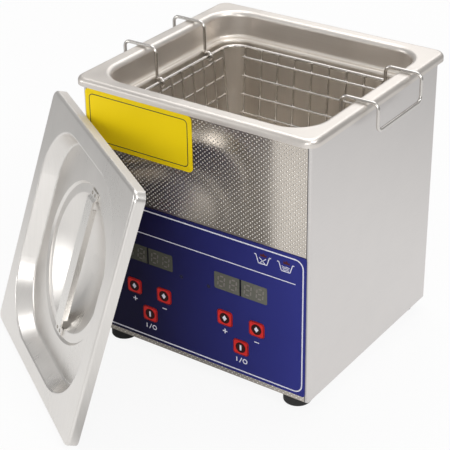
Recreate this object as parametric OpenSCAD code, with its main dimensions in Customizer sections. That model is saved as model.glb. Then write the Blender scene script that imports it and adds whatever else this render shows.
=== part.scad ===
// Bench-top ultrasonic cleaner: a steel tank in a sheet housing, with a hanging wire basket and a loose
// pressed lid that stands on its edge and leans on the housing.
// Millimetres, +Z up, front at -Y. The origin lies on the table under the middle of the housing.

/* [Tank] */
// Width of the tank inside its upper wall
tank_w = 150; // [132:1:164]
// Depth of the tank, front to back, inside its upper wall
tank_d = 139; // [126:1:180]
// Height from the tank floor to the top of the rim
tank_h = 100; // [86:1:160]
// Corner radius of the upper tank wall
tank_corner = 20; // [18:1:30]
// Sheet thickness of the tank
tank_t = 1; // [0.6:0.1:1.5]
// Radius of the roll from the rim into the tank
rim_roll = 3.5; // [2:0.5:4]
// Radius of the outer edge of the rim
rim_edge = 3; // [2:0.5:3.5]
// Outer corner radius of the rim
rim_corner = 8; // [6:0.5:14]
// Height of the rim's down-turned lip
lip_h = 5; // [4:0.5:8]
// How far the rim stands out past the housing at the sides
rim_over_side = 4; // [3:0.5:6]
// How far the rim stands out past the housing at front and rear
rim_over_front = 4.75; // [3:0.25:6]
// Depth from the top of the rim to the shoulder
shoulder_drop = 16; // [12:0.5:24]
// Radius of each of the two bends of the shoulder
shoulder_r = 2; // [1.75:0.25:3]
// Radius between bowl wall and tank floor
floor_r = 10; // [7:0.5:12]

/* [Housing] */
// Gap between the upper tank wall and the side of the housing
side_gap = 5.7; // [4:0.1:12]
// Gap between the upper tank wall and the front and rear of the housing
front_gap = 4.45; // [4:0.05:12]
// Room under the tank for the drive parts
base_room = 79.5; // [77:0.5:110]
// Height of the rubber feet
foot_h = 8; // [5:0.5:14]
// Diameter of the rubber feet
foot_d = 18; // [14:0.5:22]
// Distance of the feet's centres from the side walls
foot_in_side = 14; // [12:0.5:24]
// Distance of the feet's centres from the front and rear walls
foot_in_front = 10.5; // [10.5:0.5:14]
// Thickness of the housing sheet
sheet_t = 0.8; // [0.6:0.1:1.2]
// Corner radius of the housing
body_corner = 1.5; // [1.3:0.1:1.9]
// Width of the side sheet's return on the front
front_return = 2.2; // [2:0.1:4]
// Height of the base tray's edge
tray_h = 7; // [5:0.5:12]

/* [Control panel] */
// Height of the blue overlay
overlay_h = 97.7; // [94:0.1:105]
// Distance of the overlay from the side of the housing
overlay_in = 2.3; // [1.6:0.1:6]
// Distance of the overlay from the bottom edge of the housing
overlay_rise = 3.7; // [2:0.1:6]
// Thickness of the overlay
overlay_t = 0.6; // [0.4:0.1:1]
// Distance between the middles of the two key groups
group_span = 70.8; // [66:0.2:76]
// Shift of both groups to the right
group_shift = -1.8; // [-3:0.1:3]
// Width of a key
key_w = 11; // [8:0.5:12]
// Height of a key
key_h = 10.4; // [8:0.2:12]
// How far a key stands proud of the overlay
key_proud = 0.4; // [0.2:0.1:1]
// Travel of a key
key_travel = 0.5; // [0.3:0.1:0.8]
// Distance between the two upper keys of a group
key_span = 23.7; // [20:0.1:27]
// Height of the lower keys above the overlay's bottom edge
key_low = 19.8; // [14:0.2:24]
// Height from the lower keys to the upper keys
key_rise = 17.5; // [14:0.5:19]
// Width of a display window
window_w = 38.8; // [34:0.2:44]
// Height of a display window
window_h = 11.8; // [9:0.2:14]
// Height of the displays' middle above the overlay's bottom edge
window_rise = 63; // [60:0.5:64]
// Distance between the two indicator lamps
lamp_span = 20.8; // [16:0.2:22]
// Height of the lamps above the overlay's bottom edge
lamp_rise = 56.2; // [53:0.2:58]
// Diameter of an indicator lamp
lamp_d = 2.6; // [2:0.1:3]
// Width of the yellow label plate
label_w = 80.5; // [60:0.5:100]
// Height of the yellow label plate
label_h = 37; // [25:0.5:45]
// Thickness of the label plate
label_t = 0.3; // [0.2:0.1:0.6]
// Distance of the label plate from the side of the housing
label_in = 1.6; // [1.6:0.1:10]
// Distance of the label plate below the rim's lip
label_drop = 2.5; // [1:0.1:6]

/* [Basket] */
// Play of the basket's handle eyes in the tank, on each side
basket_play_side = 1.55; // [1.5:0.05:6]
// Play of the basket's rim in the tank, at front and rear
basket_play_front = 10.3; // [9:0.1:16]
// Height of the basket's floor wires above the tank floor
basket_lift = 14.5; // [12:0.5:25]
// How far the basket's rim hangs below the top of the tank's rim
basket_hang = 21.5; // [19:0.5:26]
// Place of the basket in the tank, to the right
basket_x = -1.2; // [-1.2:0.1:1.2]
// Place of the basket in the tank, to the back
basket_y = 8; // [-8:0.5:8]
// Corner radius of the basket's rim wire
basket_corner = 13; // [12:0.5:16]
// Diameter of the rim wire
rim_wire = 2.4; // [2:0.1:3]
// Diameter of the mesh wires
mesh_wire = 1.6; // [1.2:0.1:2]
// Lean of the basket's walls, in degrees
basket_lean = 4; // [2:0.5:7]
// Radius of the bend from wall to floor
mesh_bend = 4; // [3:0.5:6]
// Number of gaps across the front and back mesh
wide_gaps = 8; // [6:1:10]
// Number of gaps across the side mesh
deep_gaps = 7; // [5:2:9]
// Height between level mesh wires
mesh_step = 13.3; // [11:0.1:15]
// Depth of the first level mesh wire below the rim wire
mesh_first = 6; // [5.5:0.5:8]

/* [Basket handles] */
// Distance between the two legs of a handle
handle_w = 53; // [44:1:56]
// Diameter of the handle wire
handle_wire = 2.2; // [1.8:0.1:2.6]
// Distance of the outer legs from the edge of the tank's rim, with the basket in the middle
handle_clear = 6.75; // [6.5:0.25:12]
// How far the outer legs drop below the bridge
handle_drop = 17.5; // [14:0.5:22]
// Bend radius of the handle wire
handle_bend = 4; // [3:0.5:5]

/* [Lid] */
// How far the lid stays inside the rim's edge at the two ends of its strap
lid_in_ends = 2.1; // [0.8:0.1:4]
// How far the lid stays inside the rim's edge on the two sides of its strap
lid_in_sides = 0.1; // [0.1:0.1:4]
// Sheet thickness of the lid
lid_t = 0.9; // [0.6:0.1:1.2]
// Outer corner radius of the lid
lid_corner = 6; // [4.5:0.5:10]
// Height of the lid's down-turned lip
lid_lip = 7.2; // [5:0.1:9]
// Bend radius of the lid's outer edge
lid_edge = 2.2; // [1.5:0.1:2.6]
// Width of the flat border between edge and sunken centre, on the long axis
lid_border_l = 11.4; // [9:0.2:15]
// Width of the flat border, on the short axis
lid_border_w = 11.8; // [9:0.1:14]
// Corner radius of the sunken centre's edge
lid_recess_corner = 43; // [38:1:48]
// Depth of the sunken centre
lid_recess = 10.5; // [8:0.5:11]
// How far the wall round the sunken centre falls for every 3 mm inwards
lid_fall = 6; // [4:0.25:7]
// Bend radius at the top and foot of that wall
lid_bend = 1.5; // [1.3:0.1:3]
// Radius of the round dish's edge
dish_edge_r = 51.5; // [49:0.5:53]
// Depth of the step at that edge, which falls at 45 degrees
dish_step = 1.5; // [1:0.1:2]
// Radius of the bowl inside the flat ledge at the step's foot
dish_r = 44.5; // [42:0.5:46]
// Depth of the bowl below the ledge
dish_h = 12; // [9:0.5:13]
// Bend radius between the ledge and the bowl
dish_bend = 1.5; // [1.3:0.1:2.5]
// Width of the strap handle
strap_w = 10.6; // [8:0.2:14]
// Thickness of the strap handle
strap_t = 1.2; // [0.8:0.1:1.6]
// Height of the strap's turned-down edges
strap_edge = 2.6; // [1:0.1:3.2]
// Rise of the strap's middle above its feet
strap_rise = 1.5; // [1:0.1:2]
// Turn of the standing lid's bottom edge from the X axis, in degrees
lid_turn = -33; // [-42:0.1:-20]
// Distance of the lid's bottom edge from the housing corner that it leans on
lid_foot = 52; // [45:0.1:60]
// Place of the lid along its bottom edge
lid_along = 35.4; // [10:0.1:45]

/* [Drive parts] */
// Distance between the two transducers
drive_span = 68; // [60:1:76]
// Place of the transducers, to the back
drive_y = -18; // [-22:1:-14]
// Radius of a transducer's bell where it is bonded to the tank
bell_r = 25; // [21:0.5:27]
// Height of a transducer's bell
bell_h = 28; // [24:1:32]
// Radius of the piezo rings and back masses
ring_r = 19; // [15:0.5:20]
// Thickness of a piezo ring
ring_t = 6.5; // [4:0.5:7]
// Height of a back mass
mass_h = 18; // [14:1:20]
// Side of the cooling fan
fan_w = 60; // [50:1:62]
// Thickness of the cooling fan
fan_t = 15; // [10:1:18]
// Distance of the fan's axis from the side of the housing
fan_in = 44.5; // [40:0.5:47]
// Height of the fan's axis above the housing's bottom edge
fan_rise = 38; // [34:1:42]
// Distance of the inlet's and switch's middle from the side of the housing
inlet_in = 34.5; // [30:0.5:36]
// Height of the inlet above the housing's bottom edge
inlet_rise = 30; // [26:1:34]
// Height of the switch above the housing's bottom edge
switch_rise = 62; // [58:1:68]
// Swing of the rocker, in degrees
rocker_swing = 16; // [10:1:20]

/* [Clearances] */
// Clearance between a moving piece and what guides it
run_gap = 0.3; // [0.2:0.05:0.5]
// Clearance between fixed pieces that are fitted together
fit_gap = 0.1; // [0.05:0.05:0.2]

/* [Hidden] */
$fn = 48;
tank_hx = tank_w / 2;
tank_hy = tank_d / 2;
core_x = tank_hx - tank_corner;
core_y = tank_hy - tank_corner;
body_hx = tank_hx + tank_t + side_gap + sheet_t;
body_hy = tank_hy + tank_t + front_gap + sheet_t;
body_low = foot_h;
rim_top = foot_h + base_room + tank_h;
wall_top = rim_top - tank_t;
rim_hx = body_hx + rim_over_side;
rim_hy = body_hy + rim_over_front;
tank_floor = rim_top - tank_h;
tank_under = tank_floor - tank_t;
shoulder_top = rim_top - shoulder_drop;
bowl_top = shoulder_top - 2 * shoulder_r;
bowl_s = tank_corner - 2 * shoulder_r;
front_out = -body_hy;
front_in = front_out + sheet_t;
rear_in = body_hy - sheet_t;
side_in = body_hx - sheet_t;

plate_hx = body_hx - front_return - fit_gap / 2;
overlay_hx = body_hx - overlay_in;
overlay_low = body_low + overlay_rise;
overlay_out = front_out - overlay_t;
overlay_corner = 1.5;
label_corner = 3;
key_corner = 2;
key_flange = 1;
key_flange_t = 0.6;
key_back = front_in + key_flange_t + fit_gap / 2;
key_front = overlay_out - key_proud;
window_z = overlay_low + window_rise;
window_t = overlay_t + sheet_t;
window_corner = 1;
lamp_z = overlay_low + lamp_rise;
lamp_shift = 1.1;
board_t = 1.6;
board_gap = 8.5;
board_in = 3.5;
board_front = front_in + board_gap;
board_hx = side_in - board_in;
board_low = overlay_low + key_low - key_h / 2 - 2 * board_in;
board_high = window_z + window_h / 2 + board_in;
switch_cap_d = 3.4;
switch_side = 6.2;
switch_body_t = 3.6;
plunger_gap = 0.3;

// Places of the keys: which group, how far across in the group, upper or lower row
KEYS = [[-1, -1, 1], [-1, 1, 1], [-1, 0, 0], [1, -1, 1], [1, 1, 1], [1, 0, 0]];

basket_z = rim_top - basket_hang;
eye_r = (rim_wire + handle_wire) / 2 + run_gap;
basket_hx = core_x + bowl_s - eye_r - handle_wire / 2 - basket_play_side;
basket_hy = core_y + bowl_s - rim_wire / 2 - basket_play_front;
basket_h = tank_h - basket_hang - basket_lift;
mesh_inset = (rim_wire + mesh_wire) / 2 + fit_gap;
mesh_weld = 0.95 * mesh_wire;
wide_span = 2 * (basket_hx - basket_corner);
deep_span = 2 * (basket_hy - basket_corner);
handle_reach = rim_hx - basket_hx + handle_clear;
bridge_z = rim_top + run_gap + handle_wire / 2;

lid_hx = rim_hy - lid_in_sides;
lid_hy = rim_hx - lid_in_ends;
recess_hx = lid_hx - lid_border_w;
recess_hy = lid_hy - lid_border_l;
recess_core_x = recess_hx - lid_recess_corner;
recess_core_y = recess_hy - lid_recess_corner;
lid_slope = atan(lid_fall / 3);
recess_wall = (lid_recess - 2 * lid_bend * (1 - cos(lid_slope))) / sin(lid_slope);
recess_run = 2 * lid_bend * sin(lid_slope) + recess_wall * cos(lid_slope);
recess_foot = lid_recess_corner - recess_run;
dish_ledge_r = dish_edge_r - dish_step;
dish_top = -lid_recess - dish_step;
dish_reach = (dish_r * dish_r + dish_h * dish_h) / (2 * dish_h);
dish_sphere = dish_reach - dish_bend;
dish_angle = asin(dish_r / dish_reach);
strap_in = 0.5;
strap_foot = dish_r + strap_in;
strap_end = dish_ledge_r - strap_in;
lid_out = [sin(lid_turn), -cos(lid_turn)];
lid_dir = [cos(lid_turn), sin(lid_turn)];
lean_corner = [-body_hx + body_corner, -body_hy + body_corner];
lean_point = lean_corner + body_corner * lid_out;
lid_base = lean_point + lid_foot * lid_out + lid_along * lid_dir;
lid_lean = asin((lid_foot - run_gap) / (2 * lid_hy));

// Shared shapes

// Rectangle with round corners, given by its half sizes
module round_rect(hx, hy, r) {
    square([2 * hx, 2 * (hy - r)], center = true);
    square([2 * (hx - r), 2 * hy], center = true);
    for (sx = [-1, 1], sy = [-1, 1])
        translate([sx * (hx - r), sy * (hy - r)]) circle(r);
}

// Flat ring between two rounded rectangles
module round_frame(hx, hy, r, in_x, in_y, in_r) {
    difference() {
        round_rect(hx, hy, r);
        round_rect(in_x, in_y, in_r);
    }
}

// Sector of a bent sheet's cross-section, from radius r outwards by t, between two angles
module bend_arc(r, t, from, to) {
    reach = 2 * (r + t);
    intersection() {
        difference() {
            circle(r + t);
            circle(r);
        }
        polygon([
            [0, 0],
            reach * [cos(from), sin(from)],
            reach * [cos((from + to) / 2), sin((from + to) / 2)],
            reach * [cos(to), sin(to)]
        ]);
    }
}

// Carries a cross-section, drawn outwards from the core rectangle's edge, once round that rectangle
module sweep_round(cx, cy) {
    for (turn = [0:3]) {
        sx = (turn == 0 || turn == 3) ? 1 : -1;
        sy = turn < 2 ? 1 : -1;
        translate([sx * cx, sy * cy, 0]) rotate([0, 0, 90 * turn])
            rotate_extrude(angle = 90) children();
    }
    for (turn = [0, 180]) {
        rotate([0, 0, turn]) translate([cx, 0, 0]) rotate([90, 0, 0])
            linear_extrude(height = 2 * cy, center = true) children();
        rotate([0, 0, turn + 90]) translate([cy, 0, 0]) rotate([90, 0, 0])
            linear_extrude(height = 2 * cx, center = true) children();
    }
}

// Round wire along X, Y or Z, centred on its length
module wire_x(length, d) {
    rotate([0, 90, 0]) cylinder(h = length, d = d, center = true);
}

module wire_y(length, d) {
    rotate([90, 0, 0]) cylinder(h = length, d = d, center = true);
}

// Pan-head screw that points up, with its head below the XY plane
module pan_screw(head_d, head_h, d, length) {
    cylinder(h = length, d = d);
    rotate_extrude() difference() {
        translate([0, -head_h]) square([head_d / 2, head_h]);
        translate([head_d / 2, -head_h]) circle(head_h * 0.6);
    }
}

// An upright plate, drawn in X and Z, that reaches from y towards the back by t
module slab(y, t) {
    translate([0, y + t, 0]) rotate([90, 0, 0]) linear_extrude(height = t) children();
}

// Places of the controls

function group_x(side) = group_shift + side * group_span / 2;
function key_x(key) = group_x(key[0]) + key[1] * key_span / 2;
function key_z(key) = overlay_low + key_low + key[2] * key_rise;
function lamp_x(side) = group_shift + lamp_shift + side * lamp_span / 2;

module key_outline(grow) {
    round_rect(key_w / 2 + grow, key_h / 2 + grow, key_corner + grow);
}

module window_outline(grow) {
    round_rect(window_w / 2 + grow, window_h / 2 + grow, window_corner);
}

// Cut-outs of the overlay and the front plate for keys, windows and lamps
module control_cuts() {
    for (key = KEYS)
        translate([key_x(key), key_z(key)]) key_outline(run_gap);
    for (side = [-1, 1]) {
        translate([group_x(side), window_z]) window_outline(fit_gap);
        translate([lamp_x(side), lamp_z]) circle(d = lamp_d + 2 * fit_gap);
    }
}

// Housing

inlet_x = -body_hx + inlet_in;
fan_x = body_hx - fan_in;
inlet_z = body_low + inlet_rise;
switch_z = body_low + switch_rise;
fan_z = body_low + fan_rise;
inlet_cut_w = 27.4;
inlet_cut_h = 20;
inlet_screw_span = 40;
switch_cut_w = 19.4;
switch_cut_h = 13;
fan_hole_span = fan_w - 10;
fan_screw_d = 3;
vent_d = 4;
vent_step = 6;

// Vent holes, screw holes and cut-outs of the rear wall
module rear_cuts() {
    translate([fan_x, fan_z]) {
        for (row = [-3:3], col = [-3:3]) {
            place = vent_step * [col + (row % 2 == 0 ? 0 : 0.5), row * sin(60)];
            if (norm(place) < fan_w / 2 - vent_d)
                translate(place) circle(d = vent_d);
        }
        for (sx = [-1, 1], sz = [-1, 1])
            translate([sx, sz] * fan_hole_span / 2) circle(d = fan_screw_d + 2 * fit_gap);
    }
    translate([inlet_x, inlet_z]) {
        square([inlet_cut_w, inlet_cut_h], center = true);
        for (sx = [-1, 1])
            translate([sx * inlet_screw_span / 2, 0]) circle(d = fan_screw_d + 2 * fit_gap);
    }
    translate([inlet_x, switch_z]) square([switch_cut_w, switch_cut_h], center = true);
}

module housing_wrap() {
    color("gainsboro") difference() {
        translate([0, 0, body_low]) linear_extrude(height = wall_top - body_low) difference() {
            round_frame(body_hx, body_hy, body_corner, side_in, rear_in, body_corner - sheet_t);
            translate([0, -body_hy])
                square([2 * (body_hx - front_return), 4 * sheet_t], center = true);
        }
        slab(rear_in - sheet_t, 3 * sheet_t) rear_cuts();
    }
}

module front_plate() {
    color("darkgray") slab(front_out, sheet_t) difference() {
        translate([-plate_hx, body_low]) square([2 * plate_hx, wall_top - body_low]);
        control_cuts();
    }
}

base_hx = side_in - fit_gap;
base_hy = rear_in - fit_gap;
base_top = body_low + sheet_t;
tray_edge = min(tray_h, fan_rise - fan_w / 2 - run_gap);
base_slot_w = 3;
base_slot_l = 30;
base_slot_step = 8;
foot_screw_d = 4;

function foot_x(side) = side * (body_hx - foot_in_side);
function foot_y(side) = side * (body_hy - foot_in_front);

module base_tray() {
    color("silver") difference() {
        union() {
            translate([0, 0, body_low]) linear_extrude(height = sheet_t)
                round_rect(base_hx, base_hy, body_corner);
            translate([0, 0, base_top]) linear_extrude(height = tray_edge - sheet_t)
                round_frame(base_hx, base_hy, body_corner,
                    base_hx - sheet_t, base_hy - sheet_t, body_corner - sheet_t);
        }
        for (row = [-4:4], side = [-1, 1])
            translate([side * base_slot_l * 0.8, row * base_slot_step, body_low - sheet_t])
                linear_extrude(height = 3 * sheet_t)
                    round_rect(base_slot_l / 2, base_slot_w / 2, base_slot_w / 2 - 0.1);
        for (sx = [-1, 1], sy = [-1, 1])
            translate([foot_x(sx), foot_y(sy), body_low - sheet_t])
                cylinder(h = 3 * sheet_t, d = foot_screw_d + 2 * fit_gap);
    }
}

// Tank

module tank_collar() {
    color("whitesmoke") {
        translate([0, 0, wall_top]) linear_extrude(height = tank_t)
            round_frame(rim_hx - rim_edge, rim_hy - rim_edge, rim_corner - rim_edge,
                tank_hx + rim_roll, tank_hy + rim_roll, tank_corner + rim_roll);
        sweep_round(rim_hx - rim_corner, rim_hy - rim_corner) {
            union() {
                translate([rim_corner - rim_edge - tank_t, wall_top]) square([tank_t, tank_t]);
                translate([rim_corner - rim_edge, rim_top - rim_edge])
                    bend_arc(rim_edge - tank_t, tank_t, 0, 90);
                translate([rim_corner - tank_t, rim_top - lip_h])
                    square([tank_t, lip_h - rim_edge]);
            }
        }
        sweep_round(core_x, core_y) {
            union() {
                translate([tank_corner + rim_roll, wall_top]) square([tank_t, tank_t]);
                translate([tank_corner + rim_roll, rim_top - rim_roll])
                    bend_arc(rim_roll - tank_t, tank_t, 90, 180);
                translate([tank_corner, shoulder_top])
                    square([tank_t, shoulder_drop - rim_roll]);
            }
        }
    }
}

module tank_bowl() {
    color("lightgray") {
        sweep_round(core_x, core_y) {
            union() {
                translate([tank_corner - shoulder_r, shoulder_top])
                    bend_arc(shoulder_r, tank_t, -90, 0);
                translate([tank_corner - shoulder_r, bowl_top])
                    bend_arc(shoulder_r - tank_t, tank_t, 90, 180);
                translate([bowl_s, tank_floor + floor_r])
                    square([tank_t, bowl_top - tank_floor - floor_r]);
                translate([bowl_s - floor_r, tank_floor + floor_r])
                    bend_arc(floor_r, tank_t, -90, 0);
                translate([bowl_s - floor_r - tank_t, tank_under]) square([tank_t, tank_t]);
            }
        }
        translate([0, 0, tank_under]) linear_extrude(height = tank_t)
            round_rect(core_x + bowl_s - floor_r, core_y + bowl_s - floor_r, bowl_s - floor_r);
    }
}

// Front panel

module label_plate() {
    color("gold") slab(front_out - label_t, label_t)
        translate([-body_hx + label_in + label_w / 2, rim_top - lip_h - label_drop - label_h / 2])
            round_rect(label_w / 2, label_h / 2, label_corner);
}

module control_overlay() {
    color("midnightblue") slab(overlay_out, overlay_t) difference() {
        translate([0, overlay_low + overlay_h / 2])
            round_rect(overlay_hx, overlay_h / 2, overlay_corner);
        control_cuts();
    }
}

module display_window(side) {
    color("dimgray") translate([group_x(side), 0, window_z])
        slab(overlay_out, window_t) window_outline(0);
}

module temperature_window() {
    display_window(-1);
}

module timer_window() {
    display_window(1);
}

// Two-digit module, seated on the display board just behind its window
module digit_pair(side) {
    digit_front = overlay_out + window_t + fit_gap;
    digit_gap = 1.2;
    digit_w = (window_w - digit_gap) / 2;
    color("darkolivegreen") translate([group_x(side), 0, window_z])
        for (half = [-1, 1])
            translate([half * (digit_w + digit_gap) / 2, 0, 0])
                slab(digit_front, board_front - digit_front)
                    square([digit_w, window_h], center = true);
}

module temperature_digits() {
    digit_pair(-1);
}

module timer_digits() {
    digit_pair(1);
}

// Lamps: a round lens in the overlay on a body that reaches the display board
module indicator_lamps() {
    lamp_neck = 1.2;
    lamp_flange = 0.5;
    color("darkgreen") for (side = [-1, 1])
        translate([lamp_x(side), board_front, lamp_z]) rotate([90, 0, 0]) {
            cylinder(h = board_front - overlay_out, d = lamp_d);
            cylinder(h = board_front - front_in - lamp_neck, d = lamp_d + 2 * lamp_flange);
        }
}

// Key cap in its cut-out, held by a flange behind the front plate
module key_cap(key) {
    flange_grow = run_gap + key_flange;
    color("firebrick") translate([key_x(key), 0, key_z(key)]) {
        slab(key_front, key_back - key_flange_t - key_front) key_outline(0);
        slab(key_back - key_flange_t, key_flange_t) key_outline(flange_grow);
    }
}

module key_temp_up() {
    key_cap(KEYS[0]);
}

module key_temp_down() {
    key_cap(KEYS[1]);
}

module key_heat() {
    key_cap(KEYS[2]);
}

module key_time_up() {
    key_cap(KEYS[3]);
}

module key_time_down() {
    key_cap(KEYS[4]);
}

module key_clean() {
    key_cap(KEYS[5]);
}

display_post_d = 5;
display_post_in = 4;

module display_posts() {
    for (sx = [-1, 1], z = [board_low + display_post_in, board_high - display_post_in])
        translate([sx * (board_hx - display_post_in), z]) children();
}

module display_board() {
    color("darkgreen") slab(board_front, board_t)
        translate([-board_hx, board_low]) square([2 * board_hx, board_high - board_low]);
}

module tact_switches() {
    plunger = board_front - key_back - key_travel - plunger_gap;
    color("black") for (key = KEYS)
        translate([key_x(key), board_front, key_z(key)]) rotate([90, 0, 0]) {
            linear_extrude(height = switch_body_t) square(switch_side, center = true);
            cylinder(h = plunger, d = switch_cap_d);
        }
}

module display_standoffs() {
    color("goldenrod") slab(front_in, board_gap) display_posts()
        difference() {
            circle(d = display_post_d);
            circle(d = display_post_d / 2);
        }
}

// Basket

// Mesh wall seen from its own outside. Its top lies in the origin and it leans inwards on its way down.
// layer says on which side of the upright wires the level wires lie: -1 inside, 1 outside.
module mesh_wall(span, gaps, height, layer) {
    straight = (height - mesh_bend * (1 - sin(basket_lean))) / cos(basket_lean);
    top_over = rim_wire / 4;
    rows = floor((straight - mesh_first - mesh_wire) / mesh_step);
    color("silver") rotate([-basket_lean, 0, 0]) {
        for (k = [0:gaps]) translate([-span / 2 + k * span / gaps, 0, 0]) {
            translate([0, 0, -straight]) cylinder(h = straight + top_over, d = mesh_wire);
            translate([0, -mesh_bend, -straight]) rotate([-90, 0, 90])
                rotate_extrude(angle = 90 - basket_lean)
                    translate([mesh_bend, 0]) circle(d = mesh_wire);
        }
        for (row = [0:rows])
            translate([0, layer * mesh_weld, -mesh_first - row * mesh_step])
                wire_x(span + mesh_wire, mesh_wire);
    }
}

function bend_in(height) = mesh_bend * cos(basket_lean)
    + (height - mesh_bend * (1 - sin(basket_lean))) * tan(basket_lean);

side_height = basket_h - mesh_weld;
floor_hx = basket_hx - mesh_inset - bend_in(side_height);
floor_hy = basket_hy - mesh_inset - bend_in(basket_h);

module basket_place() {
    translate([basket_x, basket_y, basket_z]) children();
}

module basket_rim() {
    color("silver") basket_place()
        sweep_round(basket_hx - basket_corner, basket_hy - basket_corner)
            translate([basket_corner, 0]) circle(d = rim_wire);
}

module wide_wall(turn) {
    basket_place() rotate([0, 0, turn]) translate([0, basket_hy - mesh_inset, 0])
        mesh_wall(wide_span, wide_gaps, basket_h, -1);
}

module deep_wall(turn) {
    basket_place() rotate([0, 0, turn]) translate([0, basket_hx - mesh_inset, 0])
        mesh_wall(deep_span, deep_gaps, side_height, 1);
}

module basket_front() {
    wide_wall(180);
}

module basket_back() {
    wide_wall(0);
}

module basket_left() {
    deep_wall(90);
}

module basket_right() {
    deep_wall(-90);
}

module basket_floor() {
    color("silver") basket_place() translate([0, 0, -basket_h]) {
        for (k = [0:wide_gaps])
            translate([-wide_span / 2 + k * wide_span / wide_gaps, 0, 0])
                wire_y(2 * floor_hy, mesh_wire);
        for (k = [0:deep_gaps])
            translate([0, -deep_span / 2 + k * deep_span / deep_gaps, mesh_weld])
                wire_x(2 * floor_hx, mesh_wire);
    }
}

// Quarter bend of the handle wire in the XZ plane, from +X round to +Z
module handle_elbow() {
    rotate([90, 0, 0]) rotate_extrude(angle = 90) translate([handle_bend, 0]) circle(d = handle_wire);
}

// Handle that reaches out to +X from the rim wire at the origin
module handle() {
    bridge = bridge_z - basket_z;
    bar = bridge - handle_drop;
    leg_y = handle_w / 2;
    color("silver") {
        for (side = [-1, 1]) translate([0, side * leg_y, 0]) {
            rotate([90, 0, 0]) rotate_extrude() translate([eye_r, 0]) circle(d = handle_wire);
            translate([eye_r, 0, 0]) cylinder(h = bridge - handle_bend, d = handle_wire);
            translate([eye_r + handle_bend, 0, bridge - handle_bend]) mirror([1, 0, 0]) handle_elbow();
            translate([(eye_r + handle_reach) / 2, 0, bridge])
                wire_x(handle_reach - eye_r - 2 * handle_bend, handle_wire);
            translate([handle_reach - handle_bend, 0, bridge - handle_bend]) handle_elbow();
            translate([handle_reach, 0, bar + handle_bend])
                cylinder(h = handle_drop - 2 * handle_bend, d = handle_wire);
            translate([handle_reach, -side * handle_bend, bar + handle_bend])
                rotate([0, 0, side * 90]) mirror([0, 0, 1]) handle_elbow();
        }
        translate([handle_reach, 0, bar]) wire_y(handle_w - 2 * handle_bend, handle_wire);
    }
}

module handle_right() {
    basket_place() translate([basket_hx, 0, 0]) handle();
}

module handle_left() {
    basket_place() translate([-basket_hx, 0, 0]) mirror([1, 0, 0]) handle();
}

// Lid, drawn flat with its border's top at Z = 0 and its strap along Y

module lid_place() {
    translate([lid_base[0], lid_base[1], 0]) rotate([0, 0, lid_turn]) rotate([90 - lid_lean, 0, 0])
        translate([0, lid_hy, lid_lip]) children();
}

// Wall between border and sunken floor: a bend, a sloped run and a bend the other way. The run's pointed
// ends and the flat tails lap into their neighbours.
module recess_profile() {
    steep = 90 - lid_slope;
    top_x = lid_recess_corner - lid_bend * sin(lid_slope);
    top_z = -lid_bend * (1 - cos(lid_slope));
    run = recess_wall * [-cos(lid_slope), -sin(lid_slope)];
    normal = lid_t * [sin(lid_slope), -cos(lid_slope)];
    start = [top_x, top_z];
    lap = lid_t / 2 * [cos(lid_slope), sin(lid_slope)];
    translate([lid_recess_corner, -lid_t]) square([lid_t, lid_t]);
    translate([lid_recess_corner, -lid_bend])
        bend_arc(lid_bend - lid_t, lid_t, 90, 90 + lid_slope);
    polygon([
        start,
        start + run,
        start + run + normal / 2 - lap,
        start + run + normal,
        start + normal,
        start + normal / 2 + lap
    ]);
    translate([recess_foot, -lid_recess + lid_bend])
        bend_arc(lid_bend, lid_t, -90, -steep);
    translate([recess_foot - lid_t, -lid_recess - lid_t]) square([lid_t, lid_t]);
}

// Round dish: a step, a flat ledge, a bend and a spherical bowl. The ledge's pointed end and a small square
// lap over the joins of the bend.
module dish_profile() {
    below = lid_t * tan(22.5);
    middle = dish_bend - lid_t / 2;
    translate([dish_edge_r, -lid_recess - lid_t]) square([lid_t, lid_t]);
    polygon([
        [dish_edge_r, -lid_recess],
        [dish_ledge_r, dish_top],
        [dish_r, dish_top],
        [dish_r - lid_t / 2, dish_top - lid_t / 2],
        [dish_r, dish_top - lid_t],
        [dish_ledge_r + below, dish_top - lid_t],
        [dish_edge_r + below, -lid_recess - lid_t]
    ]);
    translate([dish_r, dish_top - dish_bend]) {
        bend_arc(dish_bend - lid_t, lid_t, 90, 90 + dish_angle);
        rotate(dish_angle) translate([0, middle]) square(lid_t / 2, center = true);
    }
    translate([0, dish_top - dish_h + dish_sphere])
        bend_arc(dish_sphere, lid_t, -90, dish_angle - 90, $fn = 180);
}

module lid_pan() {
    color("gainsboro") lid_place() {
        translate([0, 0, -lid_t]) linear_extrude(height = lid_t)
            round_frame(lid_hx - lid_edge, lid_hy - lid_edge, lid_corner - lid_edge,
                recess_hx, recess_hy, lid_recess_corner);
        sweep_round(lid_hx - lid_corner, lid_hy - lid_corner) {
            union() {
                translate([lid_corner - lid_edge - lid_t, -lid_t]) square([lid_t, lid_t]);
                translate([lid_corner - lid_edge, -lid_edge]) bend_arc(lid_edge - lid_t, lid_t, 0, 90);
                translate([lid_corner - lid_t, -lid_lip]) square([lid_t, lid_lip - lid_edge]);
            }
        }
        sweep_round(recess_core_x, recess_core_y) recess_profile();
        translate([0, 0, -lid_recess - lid_t]) linear_extrude(height = lid_t) difference() {
            round_rect(recess_core_x + recess_foot, recess_core_y + recess_foot, recess_foot);
            circle(dish_edge_r);
        }
        rotate_extrude() dish_profile();
    }
}

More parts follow.
